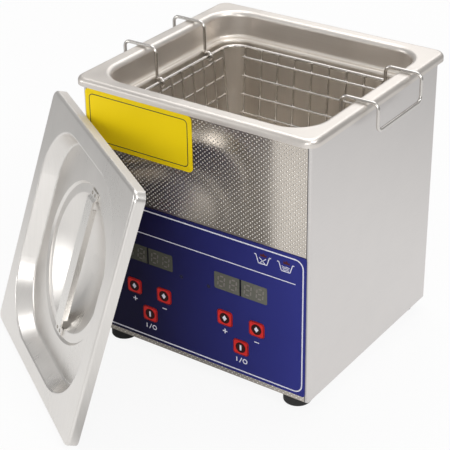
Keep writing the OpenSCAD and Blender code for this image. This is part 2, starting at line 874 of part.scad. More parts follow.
// Strap across the dish: its feet lie on the dish's ledge, its middle stands higher and its long edges are
// turned down
module lid_strap() {
    bend_y = strap_foot - strap_rise;
    edge_l = 0.86 * strap_foot;
    color("silver") lid_place() translate([0, 0, dish_top + fit_gap]) {
        rotate([90, 0, 90]) linear_extrude(height = strap_w, center = true) polygon([
            [-strap_end, 0],
            [-strap_foot, 0],
            [-bend_y, strap_rise],
            [bend_y, strap_rise],
            [strap_foot, 0],
            [strap_end, 0],
            [strap_end, strap_t],
            [strap_foot, strap_t],
            [bend_y, strap_rise + strap_t],
            [-bend_y, strap_rise + strap_t],
            [-strap_foot, strap_t],
            [-strap_end, strap_t]
        ]);
        for (side = [-1, 1])
            translate([side * (strap_w - strap_t) / 2, 0, strap_rise - strap_edge / 2])
                cube([strap_t, 2 * edge_l, strap_edge], center = true);
    }
}

// Drive parts under the tank

module transducer_places() {
    for (side = [-1, 1]) translate([side * drive_span / 2, drive_y, tank_under]) children();
}

bolt_d = 10;

// Bells: a flared front mass, bonded to the underside of the tank
module transducer_bells() {
    flare = 8;
    color("lightsteelblue") transducer_places() translate([0, 0, -bell_h]) difference() {
        rotate_extrude() polygon([
            [0, 0],
            [ring_r, 0],
            [ring_r, flare],
            [bell_r, bell_h - flare],
            [bell_r, bell_h],
            [0, bell_h]
        ]);
        translate([0, 0, -1]) cylinder(h = bell_h * 0.6, d = bolt_d + 2 * fit_gap);
    }
}

module piezo_rings() {
    color("darkkhaki") transducer_places() for (k = [1, 2])
        translate([0, 0, -bell_h - k * ring_t]) difference() {
            cylinder(h = ring_t - fit_gap, r = ring_r);
            translate([0, 0, -1]) cylinder(h = ring_t + 2, d = bolt_d + 5);
        }
}

module back_masses() {
    color("slategray") transducer_places() translate([0, 0, -bell_h - 2 * ring_t - mass_h])
        difference() {
            cylinder(h = mass_h - fit_gap, r = ring_r);
            translate([0, 0, -1]) cylinder(h = mass_h + 2, d = bolt_d + 2 * fit_gap);
        }
}

module transducer_bolts() {
    head_h = 6;
    color("dimgray") transducer_places() translate([0, 0, -bell_h - 2 * ring_t - mass_h]) {
        cylinder(h = mass_h + 2 * ring_t + bell_h * 0.5, d = bolt_d);
        translate([0, 0, -head_h]) cylinder(h = head_h - fit_gap, d = 1.6 * bolt_d, $fn = 6);
        translate([0, 0, -head_h / 2]) cylinder(h = head_h, d = bolt_d);
    }
}

heater_in = 23;
heater_w = tank_w - 2 * heater_in;
heater_d = 40;
heater_t = 2;
heater_gap = 5;
heater_corner = 4;

module heater_pad() {
    heater_y = drive_y + bell_r + heater_gap + heater_d / 2;
    color("orangered") translate([0, heater_y, tank_under - heater_t])
        linear_extrude(height = heater_t) round_rect(heater_w / 2, heater_d / 2, heater_corner);
}

probe_d = 6;
probe_l = 12;
probe_flange_d = 12;
probe_flange_t = 2;

module temperature_probe() {
    color("silver") translate([0, drive_y, tank_under]) rotate([180, 0, 0]) {
        cylinder(h = probe_flange_t, d = probe_flange_d);
        cylinder(h = probe_l, d = probe_d);
    }
}

cutout_d = 15;
cutout_h = 9;
cutout_tab = [0.8, 5, 7];
cutout_tab_span = 8;

module thermal_cutout() {
    color("black") translate([0, drive_y - bell_r, tank_under]) rotate([180, 0, 0]) {
        cylinder(h = cutout_h, d = cutout_d);
        for (side = [-1, 1])
            translate([side * cutout_tab_span / 2, 0, cutout_h + cutout_tab[2] / 2])
                cube(cutout_tab, center = true);
    }
}

// Generator board on the base tray

generator_in = 15.7;
generator_l = 2 * (side_in - generator_in);
generator_d = 42;
generator_rise = 9;
generator_gap = 9;
generator_z = base_top + generator_rise;
generator_y = rear_in - fan_t - generator_gap - generator_d / 2;
generator_top = generator_z + board_t;
post_in = 5;
post_d = 6;
post_hole_d = 3.2;
post_floor = 3;

module generator_corners() {
    for (sx = [-1, 1], sy = [-1, 1])
        translate([sx * (generator_l / 2 - post_in), generator_y + sy * (generator_d / 2 - post_in), 0])
            children();
}

module generator_board() {
    color("darkgreen") difference() {
        translate([0, generator_y, generator_z]) linear_extrude(height = board_t)
            square([generator_l, generator_d], center = true);
        generator_corners() translate([0, 0, generator_z - board_t])
            cylinder(h = 3 * board_t, d = post_hole_d);
    }
}

module generator_standoffs() {
    color("goldenrod") generator_corners() translate([0, 0, base_top]) difference() {
        cylinder(h = generator_rise, d = post_d);
        translate([0, 0, post_floor]) cylinder(h = generator_rise, d = post_hole_d);
    }
}

transformer_in = 7;
core_w = 34;
core_h = 28;
core_d = 12;
core_leg = 6;
coil_over = 7;
coil_gap = 0.4;
transformer_x = -generator_l / 2 + transformer_in + core_w / 2;
can_d = 16;
can_h = 30;
can_edge = 1;
can_gap = 5;
can_x = transformer_x + core_w / 2 + can_gap + can_d / 2;
sink_h = 32;
sink_in = 12;
sink_gap = 6;
sink_l = generator_l / 2 - sink_in - (can_x + can_d / 2 + sink_gap);
sink_x = generator_l / 2 - sink_in - sink_l / 2;
sink_web_t = 4;
sink_y = generator_y + sink_web_t;
sink_fins = 9;
sink_fin_t = 2;
sink_fin_d = 12;
transistor = [15, 5, 20];

module heat_sink() {
    color("darkgray") translate([sink_x, sink_y, generator_top]) linear_extrude(height = sink_h) {
        translate([-sink_l / 2, 0]) square([sink_l, sink_web_t]);
        for (k = [0:sink_fins - 1])
            translate([-sink_l / 2 + k * (sink_l - sink_fin_t) / (sink_fins - 1), 0])
                square([sink_fin_t, sink_web_t + sink_fin_d]);
    }
}

module power_transistors() {
    color("black") for (side = [-1, 1])
        translate([sink_x + side * sink_l / 4, sink_y - transistor[1] / 2, generator_top + sink_h / 2])
            cube(transistor, center = true);
}

module transformer_core() {
    window = [(core_w - 3 * core_leg) / 2, core_h - 2 * core_leg];
    color("dimgray") translate([transformer_x, generator_y, generator_top + core_h / 2])
        rotate([90, 0, 0]) linear_extrude(height = core_d, center = true) difference() {
            square([core_w, core_h], center = true);
            for (side = [-1, 1])
                translate([side * (window[0] + core_leg) / 2, 0]) square(window, center = true);
        }
}

module transformer_coil() {
    outer = [core_w - 2 * core_leg - 2 * coil_gap, core_d + 2 * coil_over];
    inner = [core_leg + 2 * coil_gap, core_d + 2 * coil_gap];
    height = core_h - 2 * core_leg - 2 * coil_gap;
    color("chocolate") translate([transformer_x, generator_y, generator_top + core_h / 2])
        linear_extrude(height = height, center = true) difference() {
            square(outer, center = true);
            square(inner, center = true);
        }
}

// Two upright cans with a rounded top edge
module filter_capacitors() {
    color("midnightblue") for (side = [-1, 1])
        translate([can_x, generator_y + side * (can_d / 2 + can_edge), generator_top]) rotate_extrude() {
            square([can_d / 2, can_h - can_edge]);
            square([can_d / 2 - can_edge, can_h]);
            translate([can_d / 2 - can_edge, can_h - can_edge]) intersection() {
                circle(can_edge);
                square(can_edge);
            }
        }
}

choke_r = 5.5;
choke_d = 7;
choke_in = 1;
choke_x = sink_x - sink_l / 4;
choke_y = generator_y - generator_d / 2 + choke_in + choke_r + choke_d / 2;

module choke_ring() {
    color("darkorange") translate([choke_x, choke_y, generator_top + choke_d / 2]) rotate_extrude()
        translate([choke_r, 0]) circle(d = choke_d);
}

// Rear parts

rear_out = body_hy;
fan_hub_r = 14;
fan_wall = 1.5;
fan_tip_gap = 1;
fan_blade_r = fan_w / 2 - fan_wall - fan_tip_gap;
fan_blade_t = 1.4;
fan_arm_t = 2;
fan_arm_w = 3;
fan_shaft_d = 6;
fan_shaft_l = 2;
fan_rotor_gap = 0.5;
screw_head_d = 5.6;
screw_head_h = 2;

module fan_frame() {
    color("black") translate([fan_x, rear_in - fan_t, fan_z]) rotate([-90, 0, 0]) {
        linear_extrude(height = fan_t) difference() {
            round_rect(fan_w / 2, fan_w / 2, 4);
            circle(fan_w / 2 - fan_wall);
            for (sx = [-1, 1], sz = [-1, 1])
                translate([sx, sz] * fan_hole_span / 2) circle(d = fan_screw_d + 2 * fit_gap);
        }
        linear_extrude(height = fan_arm_t) {
            circle(fan_hub_r);
            for (turn = [45:90:315])
                rotate(turn) translate([0, -fan_arm_w / 2]) square([fan_w / 2, fan_arm_w]);
        }
        cylinder(h = fan_arm_t + fan_shaft_l, d = fan_shaft_d);
    }
}

module fan_rotor() {
    blades = 7;
    blade_slope = 40;
    rotor_y = rear_in - fan_t + fan_arm_t + fan_rotor_gap;
    hub_h = fan_t - 2 * (fan_arm_t + fan_rotor_gap);
    bore_d = fan_shaft_d + 1.6 * fit_gap;
    color("dimgray") translate([fan_x, rotor_y, fan_z]) rotate([-90, 0, 0]) difference() {
        union() {
            cylinder(h = hub_h, r = fan_hub_r);
            intersection() {
                cylinder(h = hub_h, r = fan_blade_r);
                for (k = [1:blades])
                    rotate([0, 0, k * 360 / blades]) translate([fan_blade_r / 2, 0, hub_h / 2])
                        rotate([blade_slope, 0, 0])
                            cube([fan_blade_r, fan_blade_t, 2 * hub_h], center = true);
            }
        }
        translate([0, 0, -fan_rotor_gap])
            cylinder(h = fan_shaft_l + fan_rotor_gap, d = bore_d);
    }
}

module fan_screws() {
    color("silver") for (sx = [-1, 1], sz = [-1, 1])
        translate([fan_x + sx * fan_hole_span / 2, rear_out, fan_z + sz * fan_hole_span / 2])
            rotate([90, 0, 0]) pan_screw(screw_head_d, screw_head_h, fan_screw_d, fan_t - screw_head_h);
}

inlet_flange_w = 50;
inlet_flange_h = 25;
inlet_flange_t = 3;
inlet_flange_corner = 6;
inlet_depth = 20;
inlet_screw_l = 9;
socket_w = 24.4;
socket_h = 16.6;
socket_cut = 5;
socket_depth = 17;
pin = [2, 4, 11];
pin_span = 14;
pin_rise = 2;

// Socket outline: a rectangle with its two upper corners cut off
module socket_outline() {
    polygon([
        [-socket_w / 2, -socket_h / 2],
        [socket_w / 2, -socket_h / 2],
        [socket_w / 2, socket_h / 2 - socket_cut],
        [socket_w / 2 - socket_cut, socket_h / 2],
        [-socket_w / 2 + socket_cut, socket_h / 2],
        [-socket_w / 2, socket_h / 2 - socket_cut]
    ]);
}

module mains_inlet() {
    color("black") translate([inlet_x, 0, inlet_z]) difference() {
        union() {
            slab(rear_out, inlet_flange_t)
                round_rect(inlet_flange_w / 2, inlet_flange_h / 2, inlet_flange_corner);
            slab(rear_out - inlet_depth, inlet_depth)
                square([inlet_cut_w - 2 * fit_gap, inlet_cut_h - 2 * fit_gap], center = true);
        }
        slab(rear_out + inlet_flange_t - socket_depth, socket_depth + 1) socket_outline();
        slab(rear_out - 1, inlet_flange_t + 2) for (sx = [-1, 1])
            translate([sx * inlet_screw_span / 2, 0]) circle(d = fan_screw_d + 2 * fit_gap);
    }
}

module inlet_pins() {
    color("gold") translate([inlet_x, 0, inlet_z])
        slab(rear_out + inlet_flange_t - socket_depth, pin[2])
            for (place = [[-1, -1], [0, 1], [1, -1]])
                translate([place[0] * pin_span / 2, place[1] * pin_rise])
                    square([pin[0], pin[1]], center = true);
}

module inlet_screws() {
    color("silver") for (side = [-1, 1])
        translate([inlet_x + side * inlet_screw_span / 2, rear_out + inlet_flange_t, inlet_z])
            rotate([90, 0, 0]) pan_screw(screw_head_d, screw_head_h, fan_screw_d, inlet_screw_l);
}

switch_flange_w = 21.4;
switch_flange_h = 15;
switch_flange_t = 2;
switch_depth = 14;
rocker_w = 16.4;
rocker_h = 9.6;
rocker_pin_r = 1.2;
rocker_pin_gap = 0.05;
rocker_pin_l = rocker_h + 2 * run_gap + 1.2;

module switch_body() {
    hollow = 9;
    color("black") translate([inlet_x, 0, switch_z]) difference() {
        union() {
            slab(rear_out, switch_flange_t)
                round_rect(switch_flange_w / 2, switch_flange_h / 2, 1.5);
            slab(rear_out - switch_depth, switch_depth)
                square([switch_cut_w - 2 * fit_gap, switch_cut_h - 2 * fit_gap], center = true);
        }
        slab(rear_out + switch_flange_t - hollow, hollow + 1)
            square([rocker_w + 2 * run_gap, rocker_h + 2 * run_gap], center = true);
        translate([0, rear_out - 1, 0])
            cylinder(h = rocker_pin_l + 2 * fit_gap, r = rocker_pin_r + rocker_pin_gap, center = true);
    }
}

// Rocker that turns about an upright pin, so that one half is pressed in at rest
module switch_rocker() {
    sunk = rocker_w / 2 * tan(rocker_swing / 2);
    face = switch_flange_t + 1;
    half = rocker_w / 2 * cos(rocker_swing / 2);
    face_half = half - face * tan(rocker_swing / 2);
    color("maroon") translate([inlet_x, rear_out - 1, switch_z]) {
        linear_extrude(height = rocker_h, center = true) rotate(-rocker_swing / 2) polygon([
            [-face_half, face],
            [-half, 0],
            [0, -sunk],
            [half, 0],
            [face_half, face],
            [0, face - sunk / 2]
        ]);
        cylinder(h = rocker_pin_l, r = rocker_pin_r, center = true);
    }
}

// Feet

module foot(sx, sy) {
    rim_r = 1;
    foot_r = foot_d / 2;
    color("black") translate([foot_x(sx), foot_y(sy), 0]) rotate_extrude() difference() {
        union() {
            translate([0, rim_r]) square([foot_r, foot_h - rim_r]);
            square([foot_r - rim_r, foot_h]);
            translate([foot_r - rim_r, rim_r]) circle(rim_r);
        }
        square([foot_screw_d, foot_h * 0.45]);
        square([foot_screw_d / 2 + fit_gap, foot_h]);
    }
}

module foot_front_left() {
    foot(-1, -1);
}

module foot_front_right() {
    foot(1, -1);
}

module foot_rear_left() {
    foot(-1, 1);
}

module foot_rear_right() {
    foot(1, 1);
}

module foot_screws() {
    head_h = 2;
    nut_h = 3;
    shoulder = foot_h * 0.45;
    color("silver") for (sx = [-1, 1], sy = [-1, 1]) translate([foot_x(sx), foot_y(sy), 0]) {
        translate([0, 0, shoulder - head_h])
            cylinder(h = head_h, d = 2 * foot_screw_d - 4 * fit_gap);
        translate([0, 0, shoulder - head_h / 2])
            cylinder(h = base_top + nut_h + 1 - shoulder, d = foot_screw_d);
        translate([0, 0, base_top]) cylinder(h = nut_h, d = 1.75 * foot_screw_d, $fn = 6);
    }
}

housing_wrap();
front_plate();
base_tray();
tank_collar();
tank_bowl();
label_plate();
control_overlay();
temperature_window();
timer_window();
temperature_digits();
timer_digits();
indicator_lamps();
key_temp_up();
key_temp_down();
key_heat();
key_time_up();
key_time_down();
key_clean();
display_board();
tact_switches();
display_standoffs();
basket_rim();
basket_front();
basket_back();
basket_left();
basket_right();
basket_floor();
handle_left();
handle_right();
lid_pan();
lid_strap();
transducer_bells();
piezo_rings();
back_masses();
transducer_bolts();
heater_pad();
temperature_probe();
thermal_cutout();
generator_board();
generator_standoffs();
heat_sink();
power_transistors();
transformer_core();
transformer_coil();
filter_capacitors();
choke_ring();
fan_frame();
fan_rotor();
fan_screws();
mains_inlet();
inlet_pins();
inlet_screws();
switch_body();
switch_rocker();
foot_front_left();
foot_front_right();
foot_rear_left();
foot_rear_right();
foot_screws();
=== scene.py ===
import math

import bmesh
import bpy
from mathutils import Matrix, Vector

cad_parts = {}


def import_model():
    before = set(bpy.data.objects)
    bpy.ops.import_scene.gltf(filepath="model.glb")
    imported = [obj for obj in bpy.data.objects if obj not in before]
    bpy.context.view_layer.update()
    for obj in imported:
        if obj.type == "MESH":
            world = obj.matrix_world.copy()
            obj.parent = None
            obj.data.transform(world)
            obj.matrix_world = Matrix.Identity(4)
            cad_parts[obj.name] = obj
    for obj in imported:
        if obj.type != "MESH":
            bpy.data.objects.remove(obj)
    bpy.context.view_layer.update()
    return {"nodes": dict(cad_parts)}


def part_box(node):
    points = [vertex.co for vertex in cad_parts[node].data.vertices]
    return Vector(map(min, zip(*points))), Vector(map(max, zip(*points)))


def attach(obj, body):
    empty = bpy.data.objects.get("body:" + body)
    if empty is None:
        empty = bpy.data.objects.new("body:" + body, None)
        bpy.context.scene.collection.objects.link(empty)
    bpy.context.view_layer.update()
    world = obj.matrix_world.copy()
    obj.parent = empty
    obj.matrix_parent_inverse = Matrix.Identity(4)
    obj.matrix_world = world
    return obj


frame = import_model()
nodes = frame["nodes"]
MM = 0.001


def box_mm(node):
    low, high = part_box(node)
    return low / MM, high / MM


def middle(node):
    low, high = box_mm(node)
    return (low + high) / 2


# Places that the details share with the CAD model, in millimetres
PLATE_LOW, PLATE_HIGH = box_mm("front_plate")
PANEL_LOW, PANEL_HIGH = box_mm("control_overlay")
LABEL_LOW, LABEL_HIGH = box_mm("label_plate")

# The lid's own frame: it stands on its edge, turned about Z and leaning on the housing
LID_FOOT = (-80.4493, -138.399, 0)
LID_TURN = math.radians(-33)
LID_LEAN = math.radians(17.8352)
LID_HALF = 84.4
LID_LIP = 7.2
LID_FRAME = (Matrix.Translation(LID_FOOT) @ Matrix.Rotation(LID_TURN, 4, "Z")
             @ Matrix.Rotation(math.pi / 2 - LID_LEAN, 4, "X")
             @ Matrix.Translation((0, LID_HALF, LID_LIP)))
LID_UP = LID_FRAME.to_3x3().col[1]


# Materials

# Numbers of the Mix node's colour sockets
MIX_A, MIX_B, MIX_RESULT = 6, 7, 2
# How much a sheet's look follows its grain and its clouds, and the range of both that is used
GRAIN_SHARE, CLOUD_SHARE, SHEET_START, SHEET_END = 0.55, 0.45, 0.25, 0.8
# How much the roughness varies on sheets, on moulded surfaces and on films
SHEET_VARY, MOULDED_VARY, FILM_VARY = 0.06, 0.06, 0.04
# Range of the facing over which a satin side sets in
SATIN_START, SATIN_END = 0.9, 0.97


def shader(name):
    m = bpy.data.materials.new(name)
    m.use_nodes = True
    tree = m.node_tree
    return m, tree, tree.nodes["Principled BSDF"]


def add(tree, kind, **values):
    """A new node; each value is one of its settings or, failing that, one of its inputs."""
    n = tree.nodes.new(kind)
    for key, value in values.items():
        if hasattr(n, key):
            setattr(n, key, value)
        else:
            n.inputs[key].default_value = value
    return n


def calculate(tree, operation, first, second):
    """Two values put together, of which the second may be a plain number."""
    n = add(tree, "ShaderNodeMath", operation=operation)
    tree.links.new(first, n.inputs[0])
    if isinstance(second, float):
        n.inputs[1].default_value = second
    else:
        tree.links.new(second, n.inputs[1])
    return n.outputs["Value"]


def sum_of(tree, value, share, rest):
    """A share of one value added to another."""
    n = add(tree, "ShaderNodeMath", operation="MULTIPLY_ADD")
    tree.links.new(value, n.inputs[0])
    n.inputs[1].default_value = share
    tree.links.new(rest, n.inputs[2])
    return n.outputs["Value"]


def noise(tree, scale, detail, rough=0.55, turn=(0, 0, 0)):
    where = add(tree, "ShaderNodeTexCoord")
    mapping = add(tree, "ShaderNodeMapping", Scale=scale, Rotation=turn)
    tree.links.new(where.outputs["Object"], mapping.inputs["Vector"])
    n = add(tree, "ShaderNodeTexNoise", Scale=1.0, Detail=detail, Roughness=rough)
    tree.links.new(mapping.outputs["Vector"], n.inputs["Vector"])
    return n.outputs["Fac"]


def spread(tree, value, low, high, start=0.3, end=0.7):
    """The value's range from start to end, stretched to low to high and held beyond its ends."""
    n = add(tree, "ShaderNodeMapRange")
    tree.links.new(value, n.inputs["Value"])
    n.inputs["From Min"].default_value = start
    n.inputs["From Max"].default_value = end
    n.inputs["To Min"].default_value = low
    n.inputs["To Max"].default_value = high
    return n.outputs["Result"]


def blend_colours(tree, value, first, second):
    n = add(tree, "ShaderNodeMix", data_type="RGBA")
    tree.links.new(value, n.inputs["Factor"])
    n.inputs[MIX_A].default_value = (*first, 1)
    n.inputs[MIX_B].default_value = (*second, 1)
    return n.outputs[MIX_RESULT]


def shade(colour, k):
    return tuple(min(1.0, c * k) for c in colour)


def bump(tree, bsdf, height, strength, distance):
    n = add(tree, "ShaderNodeBump", Strength=strength, Distance=distance)
    tree.links.new(height, n.inputs["Height"])
    tree.links.new(n.outputs["Normal"], bsdf.inputs["Normal"])


def sheet_metal(name, colour, rough, grain, turn=(0, 0, 0), vary=0.06, depth=0.00002):
    """Rolled or brushed sheet: fine grain along one direction, faint clouds and handling marks."""
    m, tree, bsdf = shader(name)
    lines = noise(tree, grain, detail=4.0, rough=0.6, turn=turn)
    clouds = noise(tree, (16, 16, 16), detail=3.0, rough=0.6)
    both = sum_of(tree, lines, GRAIN_SHARE, spread(tree, clouds, 0.0, CLOUD_SHARE))
    tint = spread(tree, both, 0.0, 1.0, SHEET_START, SHEET_END)
    tree.links.new(blend_colours(tree, tint, shade(colour, 1 - vary), shade(colour, 1 + vary)),
                   bsdf.inputs["Base Color"])
    tree.links.new(spread(tree, both, rough - SHEET_VARY, rough + SHEET_VARY, SHEET_START, SHEET_END),
                   bsdf.inputs["Roughness"])
    bsdf.inputs["Metallic"].default_value = 1.0
    bump(tree, bsdf, lines, strength=0.25, distance=depth)
    return m


def satin_side(m, direction, more):
    """Rougher finish on the side of a sheet that faces one direction."""
    tree = m.node_tree
    bsdf = tree.nodes["Principled BSDF"]
    where = add(tree, "ShaderNodeTexCoord")
    facing = add(tree, "ShaderNodeVectorMath", operation="DOT_PRODUCT")
    tree.links.new(where.outputs["Normal"], facing.inputs[0])
    facing.inputs[1].default_value = direction
    plain = bsdf.inputs["Roughness"].links[0].from_socket
    extra = spread(tree, facing.outputs["Value"], 0.0, more, SATIN_START, SATIN_END)
    tree.links.new(calculate(tree, "ADD", plain, extra), bsdf.inputs["Roughness"])


def moulded(name, colour, rough, grain, depth, vary, coat=0.0, gloss=0.5):
    """Moulded or printed surface: fine grain, faint colour clouds and uneven gloss."""
    m, tree, bsdf = shader(name)
    fine = noise(tree, (grain, grain, grain), detail=2.0)
    clouds = noise(tree, (40, 40, 40), detail=3.0)
    tree.links.new(blend_colours(tree, clouds, shade(colour, 1 - vary), shade(colour, 1 + vary)),
                   bsdf.inputs["Base Color"])
    tree.links.new(spread(tree, clouds, rough - MOULDED_VARY, rough + MOULDED_VARY),
                   bsdf.inputs["Roughness"])
    bsdf.inputs["Specular IOR Level"].default_value = gloss
    bsdf.inputs["Coat Weight"].default_value = coat
    bump(tree, bsdf, fine, strength=0.2, distance=depth)
    return m


def painted_shade_along_x(name, start, end, first, second, rough, gloss):
    """Printed film or window with painted shade: its colour goes from a darker first colour at start to
    a lighter second colour at end along X, in metres.
    """
    m, tree, bsdf = shader(name)
    where = add(tree, "ShaderNodeTexCoord")
    apart = add(tree, "ShaderNodeSeparateXYZ")
    tree.links.new(where.outputs["Object"], apart.inputs["Vector"])
    along = spread(tree, apart.outputs["X"], 0.0, 1.0, start, end)
    fine = noise(tree, (700, 700, 700), detail=2.0)
    clouds = noise(tree, (30, 30, 30), detail=2.0)
    tint = sum_of(tree, clouds, share=0.16, rest=along)
    tree.links.new(blend_colours(tree, tint, first, second), bsdf.inputs["Base Color"])
    tree.links.new(spread(tree, clouds, rough - FILM_VARY, rough + FILM_VARY),
                   bsdf.inputs["Roughness"])
    bsdf.inputs["Specular IOR Level"].default_value = gloss
    bump(tree, bsdf, fine, strength=0.1, distance=0.00002)
    return m


HOUSING = sheet_metal("housing_steel", (0.69, 0.665, 0.65), 0.38, (60, 60, 2200), (0, math.pi / 2, 0),
                      vary=0.05)
EMBOSSED = sheet_metal("embossed_ground", (0.60, 0.55, 0.49), 0.15, (900, 900, 900), vary=0.10)
# Painted highlight: the tops of the dots are the same steel as the embossed ground, made much lighter to
# stand for the lamps' glints on them
DOTS_PAINTED_HIGHLIGHT = sheet_metal("embossed_tops_painted_highlight", (0.94, 0.885, 0.825), 0.25, (900, 900, 900), vary=0.10)
TANK = sheet_metal("tank_steel", (0.76, 0.715, 0.67), 0.42, (35, 35, 1800), vary=0.05)
BOWL = sheet_metal("bowl_steel", (0.79, 0.735, 0.67), 0.44, (900, 900, 40))
LID = sheet_metal("lid_steel", (0.76, 0.735, 0.705), 0.32, (1400, 30, 30), (0, 0, LID_TURN))
satin_side(LID, LID_UP, 0.55)
STRAP = sheet_metal("strap_steel", (0.76, 0.74, 0.71), 0.28, (1400, 30, 30), vary=0.05)
WIRE = sheet_metal("wire_steel", (0.64, 0.615, 0.585), 0.14, (900, 900, 900), vary=0.08)
MESH = sheet_metal("mesh_steel", (0.75, 0.72, 0.685), 0.17, (900, 900, 900), vary=0.08)
WELD = sheet_metal("spot_weld", (0.42, 0.385, 0.34), 0.42, (1500, 1500, 1500), vary=0.25)
ZINC = sheet_metal("zinc_steel", (0.58, 0.59, 0.60), 0.32, (1500, 1500, 1500), vary=0.12)
DARK_STEEL = sheet_metal("dark_steel", (0.10, 0.10, 0.11), 0.45, (1200, 1200, 1200), vary=0.2)
ALUMINIUM = sheet_metal("aluminium", (0.62, 0.63, 0.65), 0.36, (40, 40, 1600), vary=0.08)
BRASS = sheet_metal("brass", (0.62, 0.43, 0.16), 0.28, (1500, 1500, 100), vary=0.1)
COPPER = sheet_metal("copper", (0.48, 0.19, 0.07), 0.35, (200, 200, 2600), vary=0.25, depth=0.0001)
# Painted shade: the overlay, the windows and the unlit digits are darker towards their left ends, where
# the leaning lid shades them
BLUE = painted_shade_along_x("overlay_blue", -0.045, 0.085, (0.006, 0.004, 0.020), (0.029, 0.034, 0.235), 0.42, 0.15)
WINDOW = painted_shade_along_x("window_grey", -0.06, 0.06, (0.045, 0.046, 0.032), (0.145, 0.145, 0.120), 0.25, 0.3)
GHOST = painted_shade_along_x("digit_ghost_painted_shade", -0.06, 0.06, (0.075, 0.068, 0.060), (0.230, 0.205, 0.190), 0.4, 0.3)
YELLOW = moulded("label_yellow", (0.95, 0.70, 0.006), 0.5, 500, 0.00002, 0.03, gloss=0.15)
PRINT = moulded("print_white", (0.82, 0.82, 0.92), 0.45, 800, 0.00001, 0.03)
BLACK_PRINT = moulded("print_black", (0.02, 0.02, 0.018), 0.5, 800, 0.00001, 0.1)
DARK_RED_PRINT = moulded("print_dark_red", (0.085, 0.016, 0.022), 0.45, 800, 0.00001, 0.1, gloss=0.2)
SEAM = moulded("window_seam", (0.004, 0.004, 0.010), 0.5, 800, 0.00001, 0.1, gloss=0.1)
KEY = moulded("key_red", (0.70, 0.022, 0.020), 0.36, 700, 0.00002, 0.06, gloss=0.25)
KEY_EYE = moulded("key_eye", (0.030, 0.005, 0.006), 0.4, 700, 0.00002, 0.15, gloss=0.2)
LAMP = moulded("lamp_lens", (0.022, 0.022, 0.060), 0.2, 700, 0.00001, 0.2, gloss=0.35)
RUBBER = moulded("foot_rubber", (0.012, 0.012, 0.012), 0.62, 1200, 0.0001, 0.3)
BLACK = moulded("black_plastic", (0.018, 0.018, 0.02), 0.42, 1500, 0.00006, 0.2)
GREY = moulded("grey_plastic", (0.05, 0.05, 0.055), 0.4, 1500, 0.00006, 0.2)
ROCKER = moulded("rocker_red", (0.42, 0.015, 0.012), 0.3, 900, 0.00002, 0.08, coat=0.3)
BOARD = moulded("board_green", (0.012, 0.09, 0.035), 0.4, 1800, 0.00004, 0.25)
CERAMIC = moulded("ceramic", (0.36, 0.32, 0.22), 0.6, 1500, 0.00005, 0.12)
SILICONE = moulded("heater_silicone", (0.45, 0.10, 0.03), 0.6, 600, 0.0001, 0.12)
SLEEVE = moulded("capacitor_sleeve", (0.02, 0.03, 0.12), 0.3, 900, 0.00002, 0.15, coat=0.3)

FINISH = (
    (HOUSING, "housing_wrap base_tray"),
    (EMBOSSED, "front_plate"),
    (TANK, "tank_collar"),
    (BOWL, "tank_bowl"),
    (LID, "lid_pan"),
    (STRAP, "lid_strap"),
    (MESH, "basket_rim basket_front basket_back basket_left basket_right basket_floor"),
    (WIRE, "handle_left handle_right"),
    (YELLOW, "label_plate"),
    (BLUE, "control_overlay"),
    (WINDOW, "temperature_window timer_window"),
    (LAMP, "indicator_lamps"),
    (KEY, "key_temp_up key_temp_down key_heat key_time_up key_time_down key_clean"),
    (BOARD, "display_board generator_board"),
    (BLACK, "temperature_digits timer_digits tact_switches power_transistors thermal_cutout"
            " fan_frame mains_inlet switch_body"),
    (GREY, "fan_rotor"),
    (ROCKER, "switch_rocker"),
    (BRASS, "display_standoffs generator_standoffs inlet_pins"),
    (ALUMINIUM, "transducer_bells heat_sink"),
    (CERAMIC, "piezo_rings"),
    (DARK_STEEL, "back_masses transducer_bolts transformer_core"),
    (SILICONE, "heater_pad"),
    (ZINC, "temperature_probe fan_screws inlet_screws foot_screws"),
    (COPPER, "transformer_coil choke_ring"),
    (SLEEVE, "filter_capacitors"),
    (RUBBER, "foot_front_left foot_front_right foot_rear_left foot_rear_right"),
)
for finish, names in FINISH:
    for name in names.split():
        nodes[name].data.materials.clear()
        nodes[name].data.materials.append(finish)


# Shapes of the details, drawn in X and Z in millimetres and given a depth in Y

# How far a printed or seated detail reaches into what it lies on
SUNK = 0.05


def around(r, steps):
    return [(r * math.cos(2 * math.pi * k / steps), r * math.sin(2 * math.pi * k / steps))
            for k in range(steps)]


def disc(cx, cz, r, steps=24):
    return [(cx + x, cz + z) for x, z in around(r, steps)]


def rounded(cx, cz, hx, hz, r, steps=6):
    points = []
    for sx, sz, start in ((1, 1, 0), (-1, 1, 90), (-1, -1, 180), (1, -1, 270)):
        for k in range(steps + 1):
            a = math.radians(start + 90 * k / steps)
            points.append((cx + sx * (hx - r) + r * math.cos(a), cz + sz * (hz - r) + r * math.sin(a)))
    return points


def bar(x0, z0, x1, z1, width):
    along = Vector((x1 - x0, z1 - z0)).normalized()
    side = Vector((-along.y, along.x)) * width / 2
    a, b = Vector((x0, z0)), Vector((x1, z1))
    return [tuple(a - side), tuple(b - side), tuple(b + side), tuple(a + side)]


def bridge(bm, a, b):
    """Faces between two closed loops of as many corners."""
    faces = []
    for k in range(len(a)):
        j = (k + 1) % len(a)
        faces.append(bm.faces.new((a[k], a[j], b[j], b[k])))
    return faces


def prism(bm, outline, y_out, y_in):
    out = [bm.verts.new((x, y_out, z)) for x, z in outline]
    back = [bm.verts.new((x, y_in, z)) for x, z in outline]
    bm.faces.new(out)
    bm.faces.new(list(reversed(back)))
    bridge(bm, out, back)


def ring(bm, outer, inner, y_out, y_in):
    loops = [[bm.verts.new((x, y, z)) for x, z in line]
             for line, y in ((outer, y_out), (inner, y_out), (inner, y_in), (outer, y_in))]
    for a, b in zip(loops, loops[1:] + loops[:1]):
        bridge(bm, a, b)


